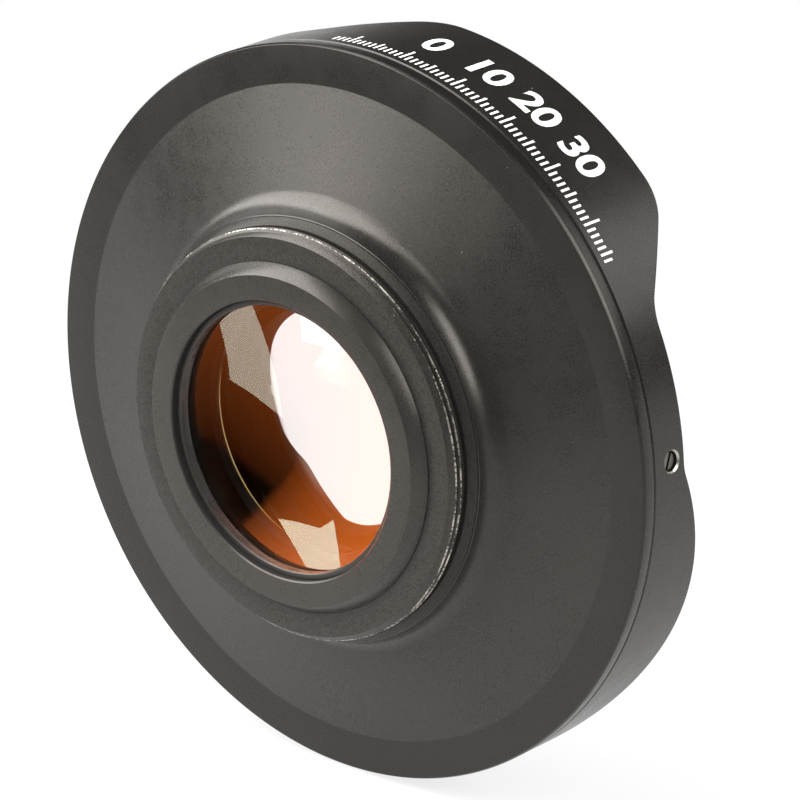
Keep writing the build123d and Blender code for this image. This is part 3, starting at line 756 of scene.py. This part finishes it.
coat(glass(
    "rear_crown_glass",
    face_points(crown_rear, CROWN_HOLLOW, REAR_GLASS_RADIUS, -1),
    face_points(cemented_vertex, CEMENTED_RISE, REAR_GLASS_RADIUS, -1),
), "rear_crown_element", CROWN_GLASS, CROWN_CEMENT)
coat(glass(
    "rear_flint_glass",
    face_points(flint_vertex, CEMENTED_RISE, REAR_GLASS_RADIUS, -1),
    face_points(flint_front, FLINT_FRONT_RISE, REAR_GLASS_RADIUS, -1),
), "rear_flint_element", FLINT_CEMENT, FLINT_GLASS)
coat(glass(
    "middle_glass",
    face_points(middle_rear, MIDDLE_REAR_RISE, MIDDLE_GLASS_RADIUS, -1),
    face_points(middle_front, MIDDLE_FRONT_RISE, MIDDLE_CLEAR_RADIUS, 1),
    corners=[(MIDDLE_GLASS_RADIUS, middle_front_edge)],
), "middle_element", MIDDLE_GLASS, MIDDLE_GLASS)
coat(glass(
    "front_glass",
    face_points(GLASS_SEAT + FRONT_INNER_RISE, FRONT_INNER_RISE, front_clear, -1),
    face_points(GLASS_FRONT, FRONT_OUTER_RISE, FRONT_GLASS_RADIUS, -1),
    corners=[(FRONT_GLASS_RADIUS, GLASS_SEAT)],
), "front_element", FRONT_GLASS, FRONT_GLASS)


# Bell
def bell():
    rim_zone = SHELL_RADIUS - RIM_ZONE_WIDTH
    rim_front = HOOD_REAR - SEAM_GAP
    plate = rim_front - RIM_HEIGHT
    floor = plate + SHELL_WALL
    cone_foot = SHELL_REAR + NECK_LIP
    rise = (plate - cone_foot) / (rim_zone - NECK_RADIUS)
    lock_seat_radius = NECK_BORE + LOCK_SEAT_WIDTH
    lock_seat = floor - (rim_zone - lock_seat_radius) * rise
    groove_low = SCREW_LINE - GROOVE_WIDTH / 2
    groove_high = SCREW_LINE + GROOVE_WIDTH / 2
    return lathe("rear_shell_turned", rounded([
        (NECK_RADIUS - NECK_BEVEL, SHELL_REAR, 0),
        (NECK_RADIUS, SHELL_REAR + NECK_BEVEL, 0),
        (NECK_RADIUS, cone_foot, FLARE_RADIUS),
        (rim_zone, plate, RIM_ZONE_ROUND),
        (SHELL_RADIUS - RIM_BEVEL_WIDTH, plate),
        (SHELL_RADIUS, plate + RIM_BEVEL_HEIGHT),
        (SHELL_RADIUS, rim_front, RIM_FRONT_ROUND),
        (SPIGOT_RADIUS, rim_front),
        (SPIGOT_RADIUS, groove_low),
        (SPIGOT_RADIUS - GROOVE_DEPTH, groove_low),
        (SPIGOT_RADIUS - GROOVE_DEPTH, groove_high),
        (SPIGOT_RADIUS, groove_high),
        (SPIGOT_RADIUS, SHELL_FRONT),
        (SPIGOT_BORE, SHELL_FRONT),
        (SPIGOT_BORE, floor),
        (rim_zone, floor),
        (lock_seat_radius, lock_seat),
        (NECK_BORE, lock_seat),
        (NECK_BORE, SHELL_REAR),
    ]), BELL_SEGMENTS)


dress(bell(), "lens_body", "rear_shell", BLACK_ANODISED)


# Front rings
def retainer():
    return lathe("front_retainer_turned", rounded([
        (RETAINER_RADIUS - RETAINER_LIP, RETAINER_REAR),
        (RETAINER_RADIUS, RETAINER_REAR),
        (RETAINER_RADIUS, RETAINER_FRONT),
        (RETAINER_RADIUS - RETAINER_LIP, RETAINER_FRONT),
    ], RETAINER_ROUND))


def trim():
    inner = RETAINER_RADIUS - RETAINER_LIP - TRIM_LIP
    return lathe("front_trim_turned", rounded([
        (inner, TRIM_REAR),
        (TRIM_RADIUS, TRIM_REAR),
        (TRIM_RADIUS, TRIM_FRONT),
        (inner + TRIM_BEVEL, TRIM_FRONT),
        (inner, TRIM_FRONT - TRIM_BEVEL),
    ], TRIM_ROUND))


dress(retainer(), "lens_body", "front_retaining_ring", INNER_BLACK)
dress(trim(), "lens_body", "front_trim_ring", HOOD_BLACK)


# Petal hood
def long_petal():
    valley = HOOD_REAR + VALLEY_RISE
    run = (HOOD_FRONT - valley) / tan(radians(LONG_PETAL_RAMP))
    foot = LONG_PETAL_HALF_WIDTH + run
    apron = foot + LONG_PETAL_FOOT_ROUND
    return np.array(rounded([
        (-apron, valley),
        (-foot, valley, LONG_PETAL_FOOT_ROUND),
        (-LONG_PETAL_HALF_WIDTH, HOOD_FRONT, LONG_PETAL_ROUND),
        (LONG_PETAL_HALF_WIDTH, HOOD_FRONT, LONG_PETAL_ROUND),
        (foot, valley, LONG_PETAL_FOOT_ROUND),
        (apron, valley),
    ], closed=False))


def short_petal():
    valley = HOOD_REAR + VALLEY_RISE
    tip = HOOD_REAR + SHORT_PETAL_RISE
    low = valley + SHORT_PETAL_FOOT_ROUND - tip + SHORT_PETAL_CURVE
    reach = sqrt((SHORT_PETAL_CURVE + SHORT_PETAL_FOOT_ROUND) ** 2 - low ** 2)
    touch = reach * SHORT_PETAL_CURVE / (SHORT_PETAL_CURVE + SHORT_PETAL_FOOT_ROUND)
    side = np.linspace(0, reach, PETAL_POINTS)
    crown = tip - sag(SHORT_PETAL_CURVE, side)
    inside = np.clip(SHORT_PETAL_FOOT_ROUND ** 2 - (side - reach) ** 2, 0, None)
    foot = valley + SHORT_PETAL_FOOT_ROUND - np.sqrt(inside)
    half = np.where(side < touch, crown, foot)
    return np.stack([np.concatenate([-side[::-1], side]), np.concatenate([half[::-1], half])], axis=1)


def hood_edge(angle, radius):
    """The height of the hood's front edge at an angle, where its wall has that radius."""
    edge = np.full(angle.shape, HOOD_REAR + VALLEY_RISE)
    for quarter, petal in enumerate((long_petal, short_petal, long_petal, short_petal)):
        outline = petal()
        off = angle - radians(LONG_PETAL_ANGLE + 90 * quarter)
        height = np.interp(radius * np.sin(off), outline[:, 0], outline[:, 1])
        edge = np.where(np.cos(off) > 0, np.maximum(edge, height), edge)
    return edge


def hood_wall():
    """The hood as rows from the outer rear edge over the front edge to the inner rear edge."""
    angle = np.arange(HOOD_SEGMENTS) * tau / HOOD_SEGMENTS
    outer = HOOD_RADIUS - INK_HEIGHT
    low, high = WALL_SHARES
    bends = [pi / 2 * step / EDGE_STEPS for step in range(EDGE_STEPS + 1)]
    rows = [(outer - HOOD_BEVEL, 0, 0), (outer, 0, HOOD_BEVEL)]
    rows += [(outer, share, 0) for share in np.linspace(low, high, OUTER_ROWS)]
    for bend in bends:
        rows.append((outer - HOOD_EDGE_ROUND * (1 - cos(bend)), 1, HOOD_EDGE_ROUND * (sin(bend) - 1)))
    for bend in bends:
        rows.append((HOOD_BORE + HOOD_EDGE_ROUND * (1 - sin(bend)), 1, HOOD_EDGE_ROUND * (cos(bend) - 1)))
    rows += [(HOOD_BORE, share, 0) for share in np.linspace(high, low, INNER_ROWS)]
    rows += [(HOOD_BORE, 0, 0)]
    radius = np.array([[r] for r, share, shift in rows]) * np.ones((1, HOOD_SEGMENTS))
    height = [HOOD_REAR + (hood_edge(angle, r) - HOOD_REAR) * share + shift for r, share, shift in rows]
    return swept("hood_turned", radius, np.array(height), HOOD_SHARP_ANGLE)


def radial_place(angle):
    """Carries a piece turned round its own axis to the hood's screw line, with its front outwards."""
    out = Vector((cos(radians(angle)), 0, sin(radians(angle))))
    along = Vector((0, -1, 0))
    side = along.cross(-out)
    place = Matrix((along, -out, side)).transposed().to_4x4()
    place.translation = Vector((0, -SCREW_LINE * MM, 0))
    return place


def cut_from(piece, cutter):
    """Takes the cutter's shape away from the piece for good."""
    change = piece.modifiers.new("cut", "BOOLEAN")
    change.operation = "DIFFERENCE"
    change.solver = "EXACT"
    change.object = cutter
    bpy.context.view_layer.update()
    graph = bpy.context.evaluated_depsgraph_get()
    mesh = bpy.data.meshes.new_from_object(piece.evaluated_get(graph))
    piece.modifiers.clear()
    piece.data = mesh
    bpy.data.objects.remove(cutter)


def screw_hole(angle):
    bore = SCREW_RADIUS + SCREW_HOLE_GAP
    hole = lathe("screw_hole", [
        (0, HOOD_BORE - OVERRUN),
        (bore, HOOD_BORE - OVERRUN),
        (bore, HOOD_RADIUS - COUNTERSINK),
        (bore + COUNTERSINK * 2, HOOD_RADIUS + COUNTERSINK),
        (0, HOOD_RADIUS + COUNTERSINK),
    ], HOLE_SEGMENTS)
    hole.data.transform(radial_place(angle))
    return hole


def on_countersink(face):
    """True where a face of the hood belongs to the bevel round a screw hole."""
    least, most = COUNTERSINK_FACING
    for angle in SCREW_ANGLES:
        out = Vector((cos(radians(angle)), 0, sin(radians(angle))))
        away = face.center - Vector((0, -SCREW_LINE * MM, 0))
        off = (away - out * away.dot(out)).length / MM
        near = away.dot(out) > 0 and off < SCREW_RADIUS + COUNTERSINK * 2
        if near and least < face.normal.dot(out) < most:
            return True
    return False


hood = hood_wall()
for screw_angle in SCREW_ANGLES:
    cut_from(hood, screw_hole(screw_angle))
tidy_mesh(hood.data, HOLED_HOOD_SHARP_ANGLE)
for face in hood.data.polygons:
    face.material_index = int(on_countersink(face))
dress(hood, "hood", "petal_hood", HOOD_BLACK)
hood.data.materials.append(BARE_METAL)


# Grub screws, each with its thread and a slot
def screw_body(name):
    """A grub screw along the optical axis, with its thread."""
    rear = SCREW_TIP + SCREW_BEVEL
    front = SCREW_HEAD - SCREW_BEVEL
    length = SCREW_HEAD - SCREW_TIP - SCREW_BEVEL * 2
    outline = [(0, SCREW_TIP), (SCREW_RADIUS - SCREW_BEVEL, SCREW_TIP)]
    outline += [(SCREW_RADIUS, rear + length * step / SCREW_ROWS) for step in range(SCREW_ROWS + 1)]
    outline += [(SCREW_RADIUS - SCREW_BEVEL, SCREW_HEAD), (0, SCREW_HEAD)]
    section = np.array(outline)
    angle = np.arange(SCREW_SEGMENTS) * tau / SCREW_SEGMENTS
    radius = section[:, :1] * np.ones((1, SCREW_SEGMENTS))
    height = section[:, 1:2] * np.ones((1, SCREW_SEGMENTS))
    from_crest = np.abs((height / SCREW_PITCH - angle / tau) % 1 - 0.5) * 2
    at_end = (height > front - SCREW_END_MARGIN) | (height < rear + SCREW_END_MARGIN)
    cut = SCREW_THREAD_DEPTH * np.clip(from_crest * SCREW_FLANK, 0, 1)
    radius = np.where(at_end | (radius < SCREW_RADIUS), radius, radius - cut)
    return swept(name, radius, height, SCREW_SHARP_ANGLE)


def screw_slot():
    mesh = bpy.data.meshes.new("slot")
    work = bmesh.new()
    bmesh.ops.create_cube(work, size=1)
    size = [side * MM for side in (SLOT_WIDTH, SLOT_DEPTH * 2, SCREW_RADIUS * 2 + OVERRUN)]
    bmesh.ops.scale(work, vec=size, verts=work.verts)
    bmesh.ops.rotate(work, matrix=Matrix.Rotation(radians(SLOT_TURN), 3, "Y"), verts=work.verts)
    bmesh.ops.translate(work, vec=(0, -SCREW_HEAD * MM, 0), verts=work.verts)
    work.to_mesh(mesh)
    work.free()
    return new_object("slot_cutter", mesh)


def grub_screw(number, angle):
    screw = screw_body(f"grub_screw_{number}")
    cut_from(screw, screw_slot())
    tidy_mesh(screw.data, SLOTTED_SCREW_SHARP_ANGLE)
    screw.data.transform(radial_place(angle))
    return screw


for number, screw_angle in enumerate(SCREW_ANGLES, start=1):
    screw = grub_screw(number, screw_angle)
    dress(screw, f"grub_screw_{number}", f"hood_screw_{number}", SCREW_STEEL)


# Printed marks
def wrapped(mesh, angle, foot):
    """Bends a flat mesh in millimetres round the hood's wall, from a place at an angle and a height."""
    for point in mesh.vertices:
        turn = radians(angle) + point.co.x / HOOD_RADIUS
        point.co = Vector((HOOD_RADIUS * cos(turn), -(foot + point.co.y), HOOD_RADIUS * sin(turn))) * MM
    mesh.update()
    return mesh


def tick(angle, length):
    half = TICK_WIDTH / 2
    corners = [(-half, 0, 0), (half, 0, 0), (half, length, 0), (-half, length, 0)]
    mesh = bpy.data.meshes.new(f"tick_{angle}")
    mesh.from_pydata(corners, [], [(0, 1, 2, 3)])
    return wrapped(mesh, angle, SCALE_FOOT)


def numeral(value, angle):
    """A number in the built-in font, cut into narrow strips so that it follows the wall."""
    curve = bpy.data.curves.new(f"number_{value}", "FONT")
    curve.body = str(value)
    curve.align_x = "CENTER"
    curve.size = NUMBER_HEIGHT / CAPITAL_SHARE
    curve.offset = NUMBER_BOLDNESS
    flat = bpy.data.objects.new(curve.name, curve)
    bpy.context.scene.collection.objects.link(flat)
    bpy.context.view_layer.update()
    graph = bpy.context.evaluated_depsgraph_get()
    mesh = bpy.data.meshes.new_from_object(flat.evaluated_get(graph))
    bpy.data.objects.remove(flat)
    work = bmesh.new()
    work.from_mesh(mesh)
    for cut in np.arange(-STRIP_REACH, STRIP_REACH, STRIP_WIDTH):
        everything = work.verts[:] + work.edges[:] + work.faces[:]
        bmesh.ops.bisect_plane(work, geom=everything, plane_co=(cut, 0, 0), plane_no=(1, 0, 0))
    work.to_mesh(mesh)
    work.free()
    return wrapped(mesh, angle, NUMBER_FOOT)


def printed_scale():
    marks = []
    for angle in range(SCALE_START, SCALE_END + 1):
        step = max(size for size in TICK_LENGTHS if (angle - SCALE_ZERO) % size == 0)
        marks.append(tick(angle, TICK_LENGTHS[step]))
    for number in range(SCALE_NUMBERS):
        marks.append(numeral(number * NUMBER_STEP, SCALE_ZERO + number * NUMBER_STEP))
    whole = bmesh.new()
    for mark in marks:
        whole.from_mesh(mark)
        bpy.data.meshes.remove(mark)
    mesh = bpy.data.meshes.new("printed_scale")
    whole.to_mesh(mesh)
    whole.free()
    return new_object("printed_scale", mesh)


dress(printed_scale(), "hood", None, WHITE_INK)


# Hidden pieces keep their own solids and get their finish
for node, material in (
    ("mount_lock_ring", INNER_BLACK),
    ("light_baffle", INNER_BLACK),
    ("element_shim", SHIM_BRASS),
    ("middle_retaining_ring", INNER_BLACK),
    ("front_barrel", INNER_BLACK),
    ("front_seal", SEAL_RUBBER),
    ("barrel_lock_screws", SCREW_STEEL),
):
    piece = frame["nodes"][node]
    piece.data.materials.clear()
    piece.data.materials.append(material)


# Camera
CAMERA_AZIMUTH = 220.297   # degrees
CAMERA_ELEVATION = 20.295
CAMERA_DISTANCE = 505.9
CAMERA_RIGHT = 10.84
CAMERA_UP = 3.72
FOCAL_LENGTH = 226.4
CLIP_START = 0.01          # metres


def view_axes(azimuth, elevation):
    """The right, up and back directions of a viewer who looks at the origin."""
    right = Vector((cos(radians(azimuth)), sin(radians(azimuth)), 0))
    level = Vector((sin(radians(azimuth)), -cos(radians(azimuth)), 0))
    back = level * cos(radians(elevation)) + Vector((0, 0, sin(radians(elevation))))
    return right, back.cross(right), back


right, up, back = view_axes(CAMERA_AZIMUTH, CAMERA_ELEVATION)
camera_data = bpy.data.cameras.new("camera")
camera_data.lens = FOCAL_LENGTH
camera_data.clip_start = CLIP_START
camera = bpy.data.objects.new("camera", camera_data)
bpy.context.scene.collection.objects.link(camera)
camera.matrix_world = Matrix((right, up, back)).transposed().to_4x4()
camera.location = (right * CAMERA_RIGHT + up * CAMERA_UP + back * CAMERA_DISTANCE) * MM
bpy.context.scene.camera = camera


# Lights
def softbox(name, direction, distance, width, height, radiance):
    """A rectangular lamp that many metres off in a direction, aimed at the object."""
    data = bpy.data.lights.new(name, "AREA")
    data.shape = "RECTANGLE"
    data.size = width
    data.size_y = height
    data.energy = radiance * pi * width * height
    lamp = bpy.data.objects.new(name, data)
    bpy.context.scene.collection.objects.link(lamp)
    lamp.location = Vector(direction).normalized() * distance
    lamp.rotation_euler = lamp.location.to_track_quat("Z", "Y").to_euler()


# Each with its direction, distance, width, height and radiance
softbox("softbox_left", (0.64, 0.42, 0.64), 0.6, 0.6, 0.7, 8.5)
softbox("softbox_right", (-0.78, -0.08, 0.62), 0.6, 0.44, 0.42, 8.0)
softbox("softbox_wall", (0.62, 0.5, 0.62), 0.95, 1.3, 0.95, 1.0)
softbox("softbox_low", (0.64, 0.74, 0.15), 0.7, 0.4, 0.17, 4.0)
softbox("softbox_rear", (0.02, 0.78, 0.62), 0.7, 0.24, 0.24, 4.0)
softbox("softbox_back", (0.71, -0.69, 0.12), 0.6, 0.2, 0.12, 0.9)
softbox("softbox_front", (-0.54, -0.72, 0.43), 0.6, 0.3, 0.2, 2.4)


# Two lit cards, placed where the rear glass mirrors them as the photo's two pale patches
CARD_CLEARANCE = 0.2       # over the object's lowest point
CARD_HIGH_CORNERS = [(61.7, 71.8), (63.2, 65.8), (66.8, 76.8), (63.8, 81.2)]
CARD_LOW_CORNERS = [(74.2, 94.5), (74.2, 83.9), (72.8, 78.5), (78.1, 84.4), (82.1, 97.3)]
CARD_HIGH_COLOUR = (0.042, 0.165, 1.0, 1)  # pale once the amber coat has mirrored it
CARD_LOW_COLOUR = (0.048, 0.18, 1.0, 1)
CARD_HIGH_LEVEL = 100
CARD_LOW_LEVEL = 185


def card(name, corners, colour, level):
    """A lit card near the floor that only the glass mirrors, with its corners in millimetres."""
    mesh = bpy.data.meshes.new(name)
    height = cad_box[0][2] / MM + CARD_CLEARANCE
    points = [Vector((across, away, height)) * MM for across, away in corners]
    mesh.from_pydata(points, [], [tuple(range(len(corners)))])
    piece = new_object(name, mesh)
    n = MaterialNodes(name)
    rays = n.add("ShaderNodeLightPath").outputs
    glow = n.add("ShaderNodeEmission", Color=colour, Strength=level)
    clear = n.add("ShaderNodeBsdfTransparent")
    n.blend(n.product(rays["Is Singular Ray"], rays["Is Reflection Ray"]), clear, glow)
    n.tree.nodes.remove(n.shader)
    mesh.materials.append(n.material)
    piece.visible_camera = piece.visible_diffuse = piece.visible_shadow = False


card("card_high", CARD_HIGH_CORNERS, CARD_HIGH_COLOUR, CARD_HIGH_LEVEL)
card("card_low", CARD_LOW_CORNERS, CARD_LOW_COLOUR, CARD_LOW_LEVEL)


# What the glass shows. Its rays have no roughness, and so the shaders tell them from the metal's.
BAND_MIDDLE = 0.59         # where a dark band behind the lens ends, as a share across to +X
BAND_HEIGHT = -0.32
BAND_TOP_SLOPE = -1.0
BAND_BOTTOM_SLOPE = -0.05
BAND_SOFT = 0.003
TABLE_LEVELS = (0.25, 1.7)
TABLE_FALL = 0.06          # over which the table below the band gains its light
PANEL_LEVELS = (1.0, 9.0)
PANEL_RISE = 0.075         # over which the panel above the band gains its light
SEEN_FROM = 0.1            # how far back a ray may point and still leave the dark
SEEN_WHOLE = -0.2
SEEN_LEVEL = 1.1           # what the elements' own reflections take away is made up here
ROOM_LEVEL = 0.03


def surroundings(n, rays):
    """The light of the studio it mirrors, and of all it looks through to."""
    heading = n.add("ShaderNodeVectorMath", {"operation": "NORMALIZE"}, Vector=n.place).outputs["Vector"]
    compass = n.split(heading)
    across = n.maths("SUBTRACT", compass["X"], BAND_MIDDLE)
    height = n.maths("SUBTRACT", compass["Z"], BAND_HEIGHT)
    above = n.maths("SUBTRACT", height, n.product(across, BAND_TOP_SLOPE))
    below = n.maths("SUBTRACT", n.product(across, BAND_BOTTOM_SLOPE), height)
    panel, table = (
        n.product(n.between(depth, 0, full, *levels), n.between(depth, -BAND_SOFT, BAND_SOFT))
        for depth, full, levels in ((above, PANEL_RISE, PANEL_LEVELS), (below, TABLE_FALL, TABLE_LEVELS))
    )
    mirrored = n.maths("MAXIMUM", n.maths("MAXIMUM", panel, table), ROOM_LEVEL)
    ahead = n.between(compass["Y"], SEEN_FROM, SEEN_WHOLE, ROOM_LEVEL, SEEN_LEVEL)
    share = rays["Is Reflection Ray"]
    return n.maths("ADD", n.product(mirrored, share), n.product(ahead, n.rest(share)))


# World: white to the camera. Metal mirrors a pale horizon ahead of the lens and a dark room elsewhere.
CEILING = 0.04
FILL = 0.5                 # of the world's light that reaches matt surfaces
HORIZON = (-0.12, 0.06)    # the heights between which it fades into the room
AHEAD = 0.35

world = bpy.data.worlds.new("world")
bpy.context.scene.world = world
world.use_nodes = True
world.node_tree.nodes.clear()
n = Nodes(world.node_tree, "Generated")
rays = n.add("ShaderNodeLightPath").outputs
compass = n.split(n.place)
low = n.between(compass["Z"], *HORIZON, 1.0, CEILING, True)
ahead = n.between(compass["Y"], AHEAD, -AHEAD, CEILING, 1.0, True)
in_glass = rays["Is Singular Ray"]
room = n.product(low, ahead, n.rest(in_glass))
studio = n.product(in_glass, surroundings(n, rays))
level = n.product(n.maths("MAXIMUM", room, studio), n.between(rays["Is Diffuse Ray"], 0, 1, 1, FILL))
level = n.maths("MAXIMUM", level, rays["Is Camera Ray"])
background = n.add("ShaderNodeBackground", Color=(1, 1, 1, 1), Strength=level)
n.add("ShaderNodeOutputWorld", Surface=background.outputs[0])


# Floor: white to the camera away from the object, and dark in metal behind the lens
FLOOR_REACH = 1.6          # metres, as all of the floor's sizes
FLOOR_GAP = 0.0002
FLOOR_WHITE = (0.9, 0.9, 0.9, 1)
FLOOR_DARK = (0.03, 0.03, 0.03, 1)
FLOOR_ROUGHNESS = 0.9
DARK_FROM = 0.04           # behind the lens
DARK_WHOLE = 0.17
GLOW_FROM = 0.04           # away from the lens, where the floor's own glow takes over
GLOW_WHOLE = 0.2
GLOW_SHARE = 0.8

floor_mesh = bpy.data.meshes.new("floor")
corners = [(-1, -1), (1, -1), (1, 1), (-1, 1)]
floor_height = cad_box[0][2] - FLOOR_GAP
points = [(x * FLOOR_REACH, y * FLOOR_REACH, floor_height) for x, y in corners]
floor_mesh.from_pydata(points, [], [(0, 1, 2, 3)])
floor = new_object("floor", floor_mesh)
n = MaterialNodes("floor")
rays = n.add("ShaderNodeLightPath").outputs
in_glass = rays["Is Singular Ray"]
mirrored = n.product(rays["Is Glossy Ray"], n.rest(in_glass))
near = n.between(n.split(n.place)["Y"], DARK_FROM, DARK_WHOLE, 1.0, 0.0, True)
dark = n.product(mirrored, n.rest(near))
seen = n.maths("MAXIMUM", rays["Is Camera Ray"], n.product(mirrored, near))
away = n.between(n.length(n.place), GLOW_FROM, GLOW_WHOLE, GLOW_SHARE, 1.0, True)
studio = n.product(in_glass, surroundings(n, rays))
glow = n.add("ShaderNodeEmission", Color=(1, 1, 1, 1), Strength=n.maths("ADD", studio, n.rest(in_glass)))
n.feed(n.shader, "Base Color", n.mix(n.rest(dark), FLOOR_DARK, FLOOR_WHITE))
n.feed(n.shader, "Roughness", FLOOR_ROUGHNESS)
n.feed(n.shader, "Specular IOR Level", 0.0)
n.blend(n.maths("MAXIMUM", n.product(seen, away), in_glass), n.shader, glow)
floor.data.materials.append(n.material)


# Render
GLASS_BOUNCES = 32
GLOSSY_BOUNCES = 12
scene = bpy.context.scene
scene.view_settings.view_transform = "Standard"
scene.cycles.max_bounces = GLASS_BOUNCES
scene.cycles.transmission_bounces = GLASS_BOUNCES
scene.cycles.glossy_bounces = GLOSSY_BOUNCES
scene.cycles.caustics_reflective = False
scene.cycles.caustics_refractive = False
